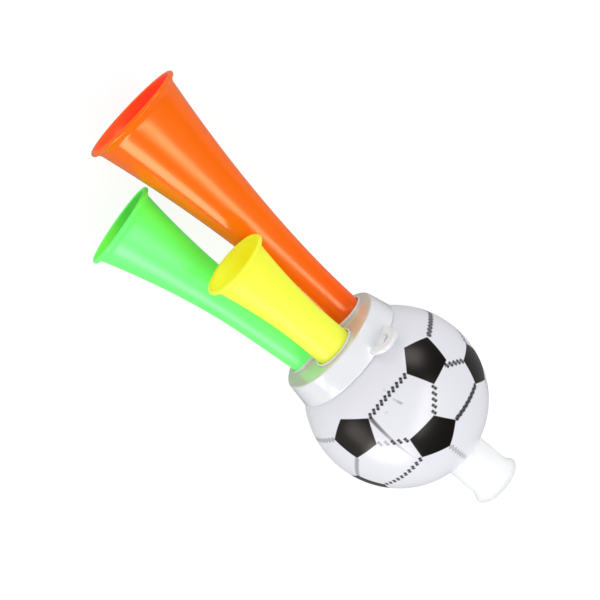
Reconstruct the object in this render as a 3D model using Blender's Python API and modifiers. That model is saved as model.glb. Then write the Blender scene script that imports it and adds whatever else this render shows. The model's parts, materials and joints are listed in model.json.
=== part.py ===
"""Three-trumpet stadium horn blown through a hollow football.

Two half shells are welded into a hollow ball with a neck on one side and a seat for the
mouthpiece on the other. A cap with three leaning sockets closes the neck. Each socket holds
a flared trumpet, and a beating reed stands in the end of each trumpet, inside the ball.

The horn lies on a table: the ball and the rims of the two lower bells touch z = 0, the bells
point along +X and the short trumpet is on top. The script works in metres.
"""

import math

import bmesh
import bpy
from mathutils import Matrix, Vector

# Fits
FIT_GAP = 0.0003  # clearance between two pieces that touch

# Ball
BALL_DIAMETER = 0.0800  # across the horn's axis
BALL_LENGTH = 0.0824  # along the axis, without neck and mouthpiece
BALL_WALL = 0.0014
NECK_WALL = 0.0012
NECK_LENGTH = 0.0040  # how far the neck stands out of the ball
SNAP_BEAD = 0.0004  # how far the bead that holds the cap stands out of the neck
SNAP_BEAD_WIDTH = 0.0012
SEAM_AZIMUTH = 72.8  # degrees about the axis from the horn's right side
WELD_RIB_WIDTH = 0.0005
WELD_RIB_DEPTH = 0.0008

# Trumpets
PIPE_DIAMETER = 0.0176  # outside, at the end that goes into the cap
TRUMPET_WALL = 0.0012
FLARE_POWER = 1.8
FLARE_RING_STEP = 0.0095  # spacing of the rings of faces along the flare
LIP_REACH = 0.0031  # how far the lip turns out of the flare
LIP_SWEEP = 70.0  # degrees from the trumpet's axis at the rim
RIM_ROUNDING = 0.0004
LONG_TRUMPET_LENGTH = 0.1269  # from the socket's lip to the rim
LONG_BELL_DIAMETER = 0.0486
LONG_FLARE_LENGTH = 0.1110
LONG_SPLAY = 3.0  # degrees that the trumpet leans outwards
MIDDLE_TRUMPET_LENGTH = 0.0997
MIDDLE_BELL_DIAMETER = 0.0392
MIDDLE_FLARE_LENGTH = 0.0670
MIDDLE_SPLAY = 6.4
SHORT_TRUMPET_LENGTH = 0.0574
SHORT_BELL_DIAMETER = 0.0318
SHORT_FLARE_LENGTH = 0.0430
SHORT_SPLAY = 2.4

# Cap
SOCKET_CIRCLE_DIAMETER = 0.0278  # through the three socket centres, at the lips
SOCKET_DEPTH = 0.0100  # length of pipe that a socket holds
SOCKET_WALL = 0.0011
SOCKET_LIP_HEIGHT = 0.0012  # above the cap's face
SOCKET_FLOOR = 0.0012  # ledge that stops the trumpet
SOCKET_FLOOR_HOLE_DIAMETER = 0.0120
SOCKET_ROUNDING = 0.0004
CAP_PLATE = 0.0016
CAP_HEAD_HEIGHT = 0.0056  # of the face above the neck
CAP_HEAD_WALL = 0.0020  # around the head's inside, at the face
CAP_SKIRT_WALL = 0.0025  # around the neck, at the ball
CAP_SHOULDER_RADIUS = 0.0010

# Lanyard ear on the cap
EAR_WIDTH = 0.0146
EAR_THICKNESS = 0.0024
EAR_ROUNDING = 0.0004
EAR_HOLE_DIAMETER = 0.0068
EAR_STAND_OFF = 0.0010  # from the skirt to the centre of the hole
EAR_RISE = 0.0020  # above the skirt's back edge
EAR_LEAN = 12.0  # degrees towards the ball
EAR_AZIMUTH = 124.0

# Mouthpiece
MOUTH_TUBE_DIAMETER = 0.0210
MOUTH_TUBE_LENGTH = 0.0232
MOUTH_WALL = 0.0013
MOUTH_LIP_REACH = 0.0020
MOUTH_LIP_LENGTH = 0.0060
MOUTH_LIP_ROUNDING = 0.0004
SPIGOT_STEP = 0.0018  # shoulder between the tube and its spigot
SPIGOT_LENGTH = 0.0062
COLLAR_WALL = 0.0012

# Reeds
HOLDER_LENGTH = 0.0085  # of the plug inside the pipe
HOLDER_FLANGE = 0.0012
HOLDER_BORE_DIAMETER = 0.0086
BED_LENGTH = 0.0238
BED_TIP = 0.0015
BED_CUT = 0.0010  # height of the flat above the bed's centre
BED_CHANNEL_WIDTH = 0.0044
BED_CHANNEL_DEPTH = 0.0031
BED_LAY = 2.5  # degrees that the flat falls away under the tongue
TONGUE_WIDTH = 0.0060
TONGUE_THICKNESS = 0.00035
TONGUE_ROOT = 0.0036  # clamped length
TONGUE_FREE = 0.0150
WEDGE_LENGTH = 0.0066

# Fineness of the round forms
BALL_SEGMENTS = 40
BALL_RINGS = 13
TRUMPET_SEGMENTS = 30
SOCKET_SEGMENTS = 28
CAP_SEGMENTS = 42
MOUTH_SEGMENTS = 28
REED_SEGMENTS = 18

# Places about the axis, in degrees from the horn's right side: the short trumpet is on top
SHORT_AZIMUTH = 90.0
LONG_AZIMUTH = SHORT_AZIMUTH + 120.0
MIDDLE_AZIMUTH = SHORT_AZIMUTH - 120.0

# Sizes that follow from the ones above
pipe_radius = PIPE_DIAMETER / 2
socket_bore_radius = pipe_radius + FIT_GAP
socket_radius = socket_bore_radius + SOCKET_WALL
neck_inner_radius = SOCKET_CIRCLE_DIAMETER / 2 + socket_radius + FIT_GAP
neck_outer_radius = neck_inner_radius + NECK_WALL
skirt_inner_radius = neck_outer_radius + FIT_GAP
skirt_front_radius = neck_inner_radius + CAP_HEAD_WALL
skirt_back_radius = skirt_inner_radius + CAP_SKIRT_WALL
mouth_tube_radius = MOUTH_TUBE_DIAMETER / 2
spigot_radius = mouth_tube_radius - SPIGOT_STEP
mouth_hole_radius = spigot_radius + FIT_GAP


def height_on_ball(radius, outset=0.0):
    """Height above the ball's centre at which its outside, moved out by outset, has this radius."""
    across = BALL_DIAMETER / 2 + outset
    along = BALL_LENGTH / 2 + outset
    return along * math.sqrt(1 - (radius / across) ** 2)


neck_top = height_on_ball(neck_outer_radius) + NECK_LENGTH
cap_face = neck_top + CAP_HEAD_HEIGHT
lip_plane = cap_face + SOCKET_LIP_HEIGHT
mouth_seat = -height_on_ball(mouth_tube_radius)

TRUMPETS = {
    "long": {
        "azimuth": LONG_AZIMUTH,
        "splay": LONG_SPLAY,
        "length": LONG_TRUMPET_LENGTH,
        "bell_radius": LONG_BELL_DIAMETER / 2,
        "flare_length": LONG_FLARE_LENGTH,
        "colour": (1.0, 0.15, 0.01),
    },
    "middle": {
        "azimuth": MIDDLE_AZIMUTH,
        "splay": MIDDLE_SPLAY,
        "length": MIDDLE_TRUMPET_LENGTH,
        "bell_radius": MIDDLE_BELL_DIAMETER / 2,
        "flare_length": MIDDLE_FLARE_LENGTH,
        "colour": (0.08, 0.80, 0.12),
    },
    "short": {
        "azimuth": SHORT_AZIMUTH,
        "splay": SHORT_SPLAY,
        "length": SHORT_TRUMPET_LENGTH,
        "bell_radius": SHORT_BELL_DIAMETER / 2,
        "flare_length": SHORT_FLARE_LENGTH,
        "colour": (0.90, 0.90, 0.03),
    },
}


def empty_scene():
    """Removes the objects that are there and makes the two collections."""
    for old in list(bpy.data.objects):
        bpy.data.objects.remove(old, do_unlink=True)
    made = []
    for name in ("stadium_horn", "cutters"):
        collection = bpy.data.collections.new(name)
        bpy.context.scene.collection.children.link(collection)
        made.append(collection)
    return made


parts, cutters = empty_scene()


def plastic(name, colour, roughness, alpha=1.0):
    """Makes a moulded plastic."""
    material = bpy.data.materials.new(name)
    material.use_nodes = True
    shader = material.node_tree.nodes["Principled BSDF"]
    shader.inputs["Base Color"].default_value = (*colour, 1.0)
    shader.inputs["Roughness"].default_value = roughness
    shader.inputs["Metallic"].default_value = 0.0
    shader.inputs["Alpha"].default_value = alpha
    material.diffuse_color = (*colour, alpha)
    return material


def empty_at(name, parent, place):
    """Makes an empty that carries other pieces, at a place in its parent's axes."""
    empty = bpy.data.objects.new(name, None)
    empty.empty_display_size = 0.01
    parts.objects.link(empty)
    empty.parent = parent
    empty.matrix_local = place
    return empty


def add_object(name, mesh, parent, place=None, material=None, cutter=False):
    """Links a mesh as a piece, or as a cutter that is not part of the horn."""
    made = bpy.data.objects.new(name, mesh)
    (cutters if cutter else parts).objects.link(made)
    made.parent = parent
    made.matrix_local = place or Matrix.Identity(4)
    if material:
        mesh.materials.append(material)
    if cutter:
        made.hide_render = True
        made.display_type = "WIRE"
    return made


def turned(name, profile, segments, parent, closed=True, **options):
    """Turns a profile of (radius, height) points about its parent's Z axis."""
    mesh = bpy.data.meshes.new(name)
    edges = [(i, i + 1) for i in range(len(profile) - 1)]
    if closed:
        edges.append((len(profile) - 1, 0))
    mesh.from_pydata([(radius, 0, height) for radius, height in profile], edges, [])
    made = add_object(name, mesh, parent, **options)
    screw = made.modifiers.new("Turn", "SCREW")
    screw.axis = "Z"
    screw.steps = segments
    screw.render_steps = segments
    screw.use_merge_vertices = True
    screw.merge_threshold = 0.000001
    screw.use_smooth_shade = True
    return made


def block(name, low, high, parent, **options):
    """Makes a box between two corners in its parent's axes."""
    shape = bmesh.new()
    bmesh.ops.create_cube(shape, size=1.0)
    size = Vector(high) - Vector(low)
    bmesh.ops.scale(shape, vec=size, verts=shape.verts)
    bmesh.ops.translate(shape, vec=(Vector(low) + Vector(high)) / 2, verts=shape.verts)
    mesh = bpy.data.meshes.new(name)
    shape.to_mesh(mesh)
    shape.free()
    return add_object(name, mesh, parent, **options)


def rod(name, radius, low, high, segments, parent, **options):
    """Makes a round bar along its parent's Z axis, between two heights."""
    shape = bmesh.new()
    bmesh.ops.create_cone(
        shape,
        cap_ends=True,
        segments=segments,
        radius1=radius,
        radius2=radius,
        depth=high - low,
        matrix=Matrix.Translation((0, 0, (low + high) / 2)),
    )
    mesh = bpy.data.meshes.new(name)
    shape.to_mesh(mesh)
    shape.free()
    return add_object(name, mesh, parent, **options)


def prism(name, outlines, low, high, parent, **options):
    """Makes bars with the given outlines in its own XZ plane, between two depths along Y."""
    shape = bmesh.new()
    for outline in outlines:
        face = shape.faces.new([shape.verts.new((x, low, z)) for x, z in outline])
        pushed = bmesh.ops.extrude_face_region(shape, geom=[face])
        moved = [v for v in pushed["geom"] if isinstance(v, bmesh.types.BMVert)]
        bmesh.ops.translate(shape, vec=(0, high - low, 0), verts=moved)
    bmesh.ops.recalc_face_normals(shape, faces=shape.faces)
    mesh = bpy.data.meshes.new(name)
    shape.to_mesh(mesh)
    shape.free()
    return add_object(name, mesh, parent, **options)


def combine(target, other, operation):
    """Joins another solid to a piece, or cuts it out."""
    boolean = target.modifiers.new(other.name, "BOOLEAN")
    boolean.operation = operation
    boolean.solver = "EXACT"
    boolean.object = other


def round_edges(target, width, sharper_than):
    """Rounds the edges at which the surface turns by more than an angle, given in degrees."""
    bevel = target.modifiers.new("Rounding", "BEVEL")
    bevel.width = width
    bevel.segments = 2
    bevel.limit_method = "ANGLE"
    bevel.angle_limit = math.radians(sharper_than)


def ball_arc(start_radius, end_radius, outset, downwards=True):
    """Points of the ball's outline from a radius above its middle to one below it, or back."""
    across = BALL_DIAMETER / 2 + outset
    along = BALL_LENGTH / 2 + outset
    start = math.acos(start_radius / across)
    end = -math.acos(end_radius / across)
    angles = [start + (end - start) * i / BALL_RINGS for i in range(BALL_RINGS + 1)]
    points = [(across * math.cos(a), along * math.sin(a)) for a in angles]
    return points if downwards else points[::-1]


def round_corner(radius, height, rounding, steps=3):
    """Points of a rounded outer top corner, from the flat above to the wall below."""
    turn = [math.pi / 2 * (1 - i / steps) for i in range(steps + 1)]
    return [
        (radius - rounding + rounding * math.cos(a), height - rounding + rounding * math.sin(a))
        for a in turn
    ]


def about_axis(azimuth):
    """Turn about the horn's axis to a place given in degrees."""
    return Matrix.Rotation(math.radians(azimuth), 4, "Z")


def snap_bead(radius, extra=0.0):
    """Points down the bead round the neck; extra widens it for the cap's groove."""
    middle = neck_top - NECK_LENGTH / 2
    half = SNAP_BEAD_WIDTH / 2 + extra
    return [(radius, middle + half), (radius + SNAP_BEAD, middle), (radius, middle - half)]


def shell_profile():
    """Section of the ball's wall with its neck and the collar that holds the mouthpiece."""
    collar_radius = mouth_hole_radius + COLLAR_WALL
    collar_top = mouth_seat + SPIGOT_LENGTH
    return [
        (neck_outer_radius, neck_top),
        *snap_bead(neck_outer_radius),
        *ball_arc(neck_outer_radius, mouth_tube_radius, 0.0),
        (mouth_hole_radius, mouth_seat),
        (mouth_hole_radius, collar_top),
        (collar_radius, collar_top),
        *ball_arc(neck_inner_radius, collar_radius, -BALL_WALL, downwards=False),
        (neck_inner_radius, neck_top),
    ]


def weld_rib_profile(extra):
    """Section of the rib along the weld, in the middle of the wall; extra widens it."""
    middle = -BALL_WALL / 2
    half = WELD_RIB_WIDTH / 2 + extra
    top = (neck_inner_radius + neck_outer_radius) / 2
    bottom = mouth_hole_radius + COLLAR_WALL
    outer = ball_arc(top + half, bottom + half, middle + half)
    inner = ball_arc(top - half, bottom - half, middle - half, downwards=False)
    return [*outer, *inner]


def weld_ribs(name, extra, parent):
    """Makes the two bars that the rib along the weld is cut from, one on each side."""
    section = weld_rib_profile(extra)
    mirrored = [(-radius, height) for radius, height in section]
    depth = WELD_RIB_DEPTH + extra
    return prism(name, (section, mirrored), -depth, depth, parent, cutter=True)


def make_ball(horn):
    """Makes the two half shells, which meet in a plane through the axis."""
    white = plastic("ball_plastic", (0.80, 0.80, 0.84), 0.18)
    seam = empty_at("ball_seam", horn, about_axis(SEAM_AZIMUTH))
    reach = BALL_DIAMETER + BALL_LENGTH
    rib = weld_ribs("weld_rib", 0.0, seam)
    groove = weld_ribs("weld_groove", FIT_GAP / 2, seam)
    for name, side in (("ball_shell_left", 1), ("ball_shell_right", -1)):
        half = turned(name, shell_profile(), BALL_SEGMENTS, seam, material=white)
        edges = sorted((side * FIT_GAP / 2, -side * reach))
        low = (-reach, edges[0], -reach)
        high = (reach, edges[1], reach)
        combine(half, block(f"{name}_cut", low, high, seam, cutter=True), "DIFFERENCE")
        if side > 0:
            combine(half, rib, "UNION")
        else:
            combine(half, groove, "DIFFERENCE")


def trumpet_curve(trumpet):
    """Middle of the trumpet's wall from pipe end to rim, as (radius, height above the lips)."""
    wall_radius = pipe_radius - TRUMPET_WALL / 2
    rim_radius = trumpet["bell_radius"] - TRUMPET_WALL / 2 * math.cos(math.radians(LIP_SWEEP))
    rise = rim_radius - LIP_REACH - wall_radius
    lean = math.atan(FLARE_POWER * rise / trumpet["flare_length"])
    sweep = math.radians(LIP_SWEEP)
    lip_radius = LIP_REACH / (math.cos(lean) - math.cos(sweep))
    lip_length = lip_radius * (math.sin(sweep) - math.sin(lean))
    lip_start = trumpet["length"] - lip_length - TRUMPET_WALL / 2 * math.sin(sweep)
    rings = max(3, round(trumpet["flare_length"] / FLARE_RING_STEP))
    points = [(wall_radius, -SOCKET_DEPTH)]
    for i in range(rings + 1):
        share = i / rings
        height = lip_start - trumpet["flare_length"] * (1 - share)
        points.append((wall_radius + rise * share**FLARE_POWER, height))
    lip_steps = 4
    for i in range(1, lip_steps + 1):
        angle = lean + (sweep - lean) * i / lip_steps
        radius = points[rings + 1][0] + lip_radius * (math.cos(lean) - math.cos(angle))
        height = lip_start + lip_radius * (math.sin(angle) - math.sin(lean))
        points.append((radius, height))
    return points


def make_trumpet(name, trumpet, socket):
    """Makes the flared tube with its turned-out lip."""
    colour = plastic(f"{name}_trumpet_plastic", trumpet["colour"], 0.22)
    profile = trumpet_curve(trumpet)[::-1]
    tube = turned(
        f"{name}_trumpet", profile, TRUMPET_SEGMENTS, socket, closed=False, material=colour
    )
    wall = tube.modifiers.new("Wall", "SOLIDIFY")
    wall.thickness = TRUMPET_WALL
    wall.offset = 0.0
    wall.use_even_offset = True
    round_edges(tube, RIM_ROUNDING, sharper_than=50)


def make_cap(horn, sockets):
    """Makes the cap: a skirt over the neck, a front plate, three sockets and the ear."""
    white = plastic("cap_plastic", (0.88, 0.89, 0.92), 0.20)
    profile = [
        (0.0, cap_face),
        *round_corner(skirt_front_radius, cap_face, CAP_SHOULDER_RADIUS),
        (skirt_back_radius, height_on_ball(skirt_back_radius, FIT_GAP)),
        (skirt_inner_radius, height_on_ball(skirt_inner_radius, FIT_GAP)),
        *snap_bead(skirt_inner_radius, FIT_GAP)[::-1],
        (skirt_inner_radius, neck_top + FIT_GAP),
        (neck_inner_radius, neck_top + FIT_GAP),
        (neck_inner_radius, cap_face - CAP_PLATE),
        (0.0, cap_face - CAP_PLATE),
    ]
    cap = turned("cap", profile, CAP_SEGMENTS, horn, closed=False, material=white)
    add_ear(horn, cap)
    for name, socket in sockets.items():
        add_socket(name, socket, cap)


def add_socket(name, socket, cap):
    """Adds a tube with a ledge in it, which stands in a hole through the cap's plate."""
    stop = -SOCKET_DEPTH - HOLDER_FLANGE - 2 * FIT_GAP
    floor_radius = SOCKET_FLOOR_HOLE_DIAMETER / 2
    hole_radius = socket_bore_radius + SOCKET_WALL / 2
    hole = rod(
        f"{name}_socket_hole",
        hole_radius,
        -SOCKET_DEPTH,
        SOCKET_LIP_HEIGHT,
        SOCKET_SEGMENTS,
        socket,
        cutter=True,
    )
    section = [
        *round_corner(socket_radius, 0.0, SOCKET_ROUNDING, 2),
        (socket_radius, stop - SOCKET_FLOOR),
        (floor_radius, stop - SOCKET_FLOOR),
        (floor_radius, stop),
        (socket_bore_radius, stop),
        (socket_bore_radius, 0.0),
    ]
    tube = turned(f"{name}_socket_tube", section, SOCKET_SEGMENTS, socket, cutter=True)
    combine(cap, hole, "DIFFERENCE")
    combine(cap, tube, "UNION")


def add_ear(horn, cap):
    """Adds the ring for a lanyard, which leans back over the ball from the skirt's edge."""
    edge = height_on_ball(skirt_back_radius, FIT_GAP)
    place = (
        about_axis(EAR_AZIMUTH)
        @ Matrix.Translation((skirt_back_radius, 0, edge + EAR_RISE))
        @ Matrix.Rotation(math.radians(EAR_LEAN), 4, "Y")
        @ Matrix.Translation((EAR_STAND_OFF, 0, 0))
    )
    ear = empty_at("ear_centre", horn, place)
    half = EAR_THICKNESS / 2
    ring = rod("ear_ring", EAR_WIDTH / 2, -half, half, SOCKET_SEGMENTS, ear, cutter=True)
    hole = rod("ear_hole", EAR_HOLE_DIAMETER / 2, -2 * half, 2 * half, REED_SEGMENTS, ear, cutter=True)
    round_edges(ring, EAR_ROUNDING, sharper_than=60)
    in_wall = skirt_inner_radius + SNAP_BEAD + FIT_GAP
    in_head = neck_top + CAP_HEAD_HEIGHT / 2
    ball_room = ball_arc(in_wall, in_wall, 2 * FIT_GAP)
    room = [(0.0, in_head), (in_wall, in_head), *ball_room, (0.0, ball_room[-1][1])]
    inside = turned("cap_inside", room, CAP_SEGMENTS, horn, closed=False, cutter=True)
    combine(ring, hole, "DIFFERENCE")
    combine(ring, inside, "DIFFERENCE")
    combine(cap, ring, "UNION")


def make_mouthpiece(horn):
    """Makes the tube with a turned-out lip and a spigot that goes into the ball's collar."""
    clear = plastic("mouthpiece_plastic", (0.92, 0.93, 0.95), 0.25, alpha=0.6)
    shoulder = mouth_seat - FIT_GAP
    end = shoulder - MOUTH_TUBE_LENGTH
    tube_bore = mouth_tube_radius - MOUTH_WALL
    spigot_bore = spigot_radius - MOUTH_WALL
    steps = 4
    outer = []
    inner = []
    for i in range(1, steps + 1):
        share = i / steps
        reach = MOUTH_LIP_REACH * share**2
        height = end + MOUTH_LIP_LENGTH * (1 - share)
        outer.append((mouth_tube_radius + reach, height))
        inner.append((tube_bore + reach, height))
    profile = [
        (spigot_radius, mouth_seat + SPIGOT_LENGTH),
        (spigot_radius, shoulder),
        (mouth_tube_radius, shoulder),
        (mouth_tube_radius, end + MOUTH_LIP_LENGTH),
        *outer,
        *inner[::-1],
        (tube_bore, end + MOUTH_LIP_LENGTH),
        (tube_bore, shoulder - MOUTH_WALL),
        (spigot_bore, shoulder),
        (spigot_bore, mouth_seat + SPIGOT_LENGTH),
    ]
    tube = turned("mouthpiece", profile, MOUTH_SEGMENTS, horn, material=clear)
    round_edges(tube, MOUTH_LIP_ROUNDING, sharper_than=100)


def make_reed(name, socket):
    """Makes the plug, the bed with its air channel, the tongue over it and the wedge."""
    white = plastic(f"{name}_reed_plastic", (0.85, 0.85, 0.82), 0.35)
    film = plastic(f"{name}_tongue_film", (0.75, 0.80, 0.85), 0.20, alpha=0.7)
    pipe_end = -SOCKET_DEPTH
    flange_top = pipe_end - FIT_GAP
    flange_base = flange_top - HOLDER_FLANGE
    plug_radius = pipe_radius - TRUMPET_WALL - FIT_GAP
    flange_radius = pipe_radius
    bore = HOLDER_BORE_DIAMETER / 2
    holder = [
        (plug_radius, pipe_end + HOLDER_LENGTH),
        (plug_radius, flange_top),
        (flange_radius, flange_top),
        (flange_radius, flange_base),
        (bore, flange_base),
        (bore, pipe_end + HOLDER_LENGTH),
    ]
    turned(f"{name}_reed_holder", holder, REED_SEGMENTS, socket, material=white)

    round_radius = bore - FIT_GAP
    reach = 2 * bore
    bed_top = pipe_end + HOLDER_LENGTH
    bed_low = bed_top - BED_LENGTH - HOLDER_FLANGE
    bed = rod(
        f"{name}_reed_bed", round_radius, bed_low, bed_top, REED_SEGMENTS, socket, material=white
    )
    lay_length = flange_base - bed_low + reach
    lay_fall = lay_length * math.tan(math.radians(BED_LAY))
    above_bed = [
        (BED_CUT, bed_top + reach),
        (BED_CUT, flange_base),
        (BED_CUT - lay_fall, flange_base - lay_length),
        (BED_CUT + reach, flange_base - lay_length),
        (BED_CUT + reach, bed_top + reach),
    ]
    flat = prism(
        f"{name}_bed_flat", [above_bed], -reach, reach, socket, place=about_axis(90.0), cutter=True
    )
    channel = block(
        f"{name}_bed_channel",
        (-BED_CHANNEL_WIDTH / 2, BED_CUT - BED_CHANNEL_DEPTH, bed_low + BED_TIP),
        (BED_CHANNEL_WIDTH / 2, 2 * reach, bed_top + 2 * reach),
        socket,
        cutter=True,
    )
    combine(bed, flat, "DIFFERENCE")
    combine(bed, channel, "DIFFERENCE")

    tongue_base = BED_CUT + FIT_GAP
    half = TONGUE_THICKNESS / 2
    pivot = Matrix.Translation((0, tongue_base + half, flange_base))
    prism(
        f"{name}_reed_tongue", [tongue_outline()], -half, half, socket, place=pivot, material=film
    )

    wedge_base = tongue_base + TONGUE_THICKNESS + FIT_GAP
    wedge = rod(
        f"{name}_reed_wedge",
        round_radius,
        flange_base + FIT_GAP,
        flange_base + FIT_GAP + WEDGE_LENGTH,
        REED_SEGMENTS,
        socket,
        material=white,
    )
    keep_above = block(
        f"{name}_wedge_flat",
        (-reach, -reach, flange_base - reach),
        (reach, wedge_base, bed_top + reach),
        socket,
        cutter=True,
    )
    combine(wedge, keep_above, "DIFFERENCE")


def tongue_outline():
    """Outline of the thin blade, from its clamped root to its round tip below the bending line."""
    half = TONGUE_WIDTH / 2
    steps = 6
    tip = -TONGUE_FREE + half
    turn = [math.pi * i / steps for i in range(steps + 1)]
    round_tip = [(-half * math.cos(a), tip - half * math.sin(a)) for a in turn]
    return [*round_tip, (half, TONGUE_ROOT), (-half, TONGUE_ROOT)]


def socket_place(trumpet):
    """Place of a socket's lip and the direction in which its trumpet leans out."""
    return (
        about_axis(trumpet["azimuth"])
        @ Matrix.Translation((SOCKET_CIRCLE_DIAMETER / 2, 0, lip_plane))
        @ Matrix.Rotation(math.radians(trumpet["splay"]), 4, "Y")
        @ about_axis(-90.0)
    )


def lowest_on_ball(down):
    """Point of the ball that is furthest along a direction."""
    across = (BALL_DIAMETER / 2) ** 2
    along = (BALL_LENGTH / 2) ** 2
    scaled = Vector((across * down.x, across * down.y, along * down.z))
    return scaled / math.sqrt(scaled.dot(down))


def lowest_on_rim(trumpet, down):
    """Point of a trumpet's rim that is furthest along a direction."""
    place = socket_place(trumpet)
    axis = place.to_3x3() @ Vector((0, 0, 1))
    edge = TRUMPET_WALL / 2
    centre = place @ Vector((0, 0, trumpet["length"] - edge))
    outwards = (down - axis * down.dot(axis)).normalized()
    return centre + outwards * (trumpet["bell_radius"] - edge) + down * edge


def lying_on_table():
    """Turn that lays the horn on its ball and the rims of the two lower bells."""
    down = Vector((0, -1, 0))
    for _ in range(30):
        ball = lowest_on_ball(down)
        first = lowest_on_rim(TRUMPETS["long"], down)
        second = lowest_on_rim(TRUMPETS["middle"], down)
        normal = (first - ball).cross(second - ball).normalized()
        down = normal if normal.y < 0 else -normal
    up = -down
    forward = Vector((0, 0, 1))
    forward = (forward - up * forward.dot(up)).normalized()
    return Matrix((forward, up.cross(forward), up)).to_4x4()


def set_down(horn):
    """Moves the horn so that its lowest point and the middle of its plan are at the origin."""
    bpy.context.view_layer.update()
    depsgraph = bpy.context.evaluated_depsgraph_get()
    points = []
    for piece in parts.objects:
        if piece.type == "MESH":
            shown = piece.evaluated_get(depsgraph)
            points += [shown.matrix_world @ vertex.co for vertex in shown.data.vertices]
    low = [min(p[i] for p in points) for i in range(3)]
    high = [max(p[i] for p in points) for i in range(3)]
    horn.location = (-(low[0] + high[0]) / 2, -(low[1] + high[1]) / 2, -low[2])
    bpy.context.view_layer.update()


def make_horn():
    """Builds the whole horn and lays it on the table."""
    horn = empty_at("horn_axis", None, lying_on_table())
    sockets = {}
    for name, trumpet in TRUMPETS.items():
        sockets[name] = empty_at(f"{name}_socket", horn, socket_place(trumpet))
    make_ball(horn)
    make_cap(horn, sockets)
    make_mouthpiece(horn)
    for name, trumpet in TRUMPETS.items():
        make_trumpet(name, trumpet, sockets[name])
        make_reed(name, sockets[name])
    set_down(horn)


make_horn()
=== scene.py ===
import json
import math

import bmesh
import bpy
from mathutils import Matrix, Vector


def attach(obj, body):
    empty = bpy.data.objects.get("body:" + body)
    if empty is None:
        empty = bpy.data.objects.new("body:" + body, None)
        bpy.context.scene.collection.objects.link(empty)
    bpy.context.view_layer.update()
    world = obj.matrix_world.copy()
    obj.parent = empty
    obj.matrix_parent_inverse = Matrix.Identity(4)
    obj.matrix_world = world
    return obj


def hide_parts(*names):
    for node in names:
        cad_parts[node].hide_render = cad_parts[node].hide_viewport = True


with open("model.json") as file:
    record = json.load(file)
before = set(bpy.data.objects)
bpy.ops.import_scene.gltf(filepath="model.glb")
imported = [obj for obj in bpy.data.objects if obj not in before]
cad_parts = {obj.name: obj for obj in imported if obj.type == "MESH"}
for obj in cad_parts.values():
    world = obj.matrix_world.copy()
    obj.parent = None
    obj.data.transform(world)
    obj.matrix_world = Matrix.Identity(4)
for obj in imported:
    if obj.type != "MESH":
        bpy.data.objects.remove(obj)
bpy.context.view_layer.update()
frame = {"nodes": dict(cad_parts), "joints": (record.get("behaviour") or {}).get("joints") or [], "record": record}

# The horn's own axes
# Everything is turned about one axis that runs from the mouthpiece to the bells. Its direction
# and the place of the cap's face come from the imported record, and so do the trumpets' axes.
record = frame["record"]
joints = {joint["name"]: joint for joint in frame["joints"]}
cap_mount = next(mount for mount in record["mounts"] if mount["name"] == "cap_face")

CAP_FACE = 0.04126  # from the ball's centre to the cap's flat face
REED_PIVOT_HEIGHT = 0.001475  # of the tongue above the trumpet's axis
REED_PIVOT_DEPTH = 0.0115  # of the tongue's bending line below the socket's lip


def placed(across, along, origin):
    """Matrix of a frame with these X and Z directions."""
    z = Vector(along).normalized()
    x = (Vector(across) - z * z.dot(Vector(across))).normalized()
    y = z.cross(x)
    turn = Matrix((x, y, z)).transposed().to_4x4()
    return Matrix.Translation(origin) @ turn


horn_axis = Vector(cap_mount["axis"]).normalized()
ball_centre = Vector(cap_mount["pos_m"]) - horn_axis * CAP_FACE
horn_place = placed(joints["short_reed_flex"]["axis"], horn_axis, ball_centre)


def socket_place(name):
    """Frame at the middle of a socket's lip, Z out along its trumpet."""
    flex = joints[f"{name}_reed_flex"]
    place = placed(flex["axis"], joints[f"{name}_trumpet_slide"]["axis"], Vector(flex["pos_m"]))
    return place @ Matrix.Translation((0, -REED_PIVOT_HEIGHT, REED_PIVOT_DEPTH))


# Camera
# A 94 mm lens 0.69 m from the ball, rolled so that the bells point up and to the left. Its place
# is written in the photograph's own axes: right, down and away from the lens.
FOCAL_PIXELS = 1560.0
FRAME_PIXELS = 600.0
SENSOR = 36.0
BALL_FROM_LENS = (0.0426, 0.0426, 0.6895)
HORN_HEADING = 40.4  # degrees of the horn's axis in the picture, above the left
HORN_TILT = 16.7  # degrees by which the bells lean towards the lens
HORN_ROLL = 5.0  # degrees about its own axis

heading, tilt, roll = (math.radians(a) for a in (HORN_HEADING, HORN_TILT, HORN_ROLL))
towards_bells = Vector(
    (-math.cos(heading) * math.cos(tilt), -math.sin(heading) * math.cos(tilt), -math.sin(tilt))
)
plain_side = Vector((-math.sin(heading), math.cos(heading), 0))
plain_top = towards_bells.cross(plain_side)
seen_side = plain_side * math.cos(roll) - plain_top * math.sin(roll)
seen_top = plain_top * math.cos(roll) + plain_side * math.sin(roll)
horn_in_view = Matrix((seen_side, seen_top, towards_bells)).transposed()
view_axes = horn_place.to_3x3() @ horn_in_view.transposed()
lens_place = ball_centre - view_axes @ Vector(BALL_FROM_LENS)


def in_view(right, down, away):
    """Point that lies this far right, below and behind the ball, as the camera sees it."""
    return ball_centre + view_axes @ Vector((right, down, away))


camera = bpy.data.objects.new("camera", bpy.data.cameras.new("camera"))
bpy.context.scene.collection.objects.link(camera)
camera.data.sensor_width = SENSOR
camera.data.lens = FOCAL_PIXELS / FRAME_PIXELS * SENSOR
camera.data.clip_start = 0.01
camera.matrix_world = Matrix.Translation(lens_place) @ (
    view_axes @ Matrix.Diagonal((1, -1, -1))
).to_4x4()
bpy.context.scene.camera = camera
bpy.context.scene.view_settings.view_transform = "Standard"


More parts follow.
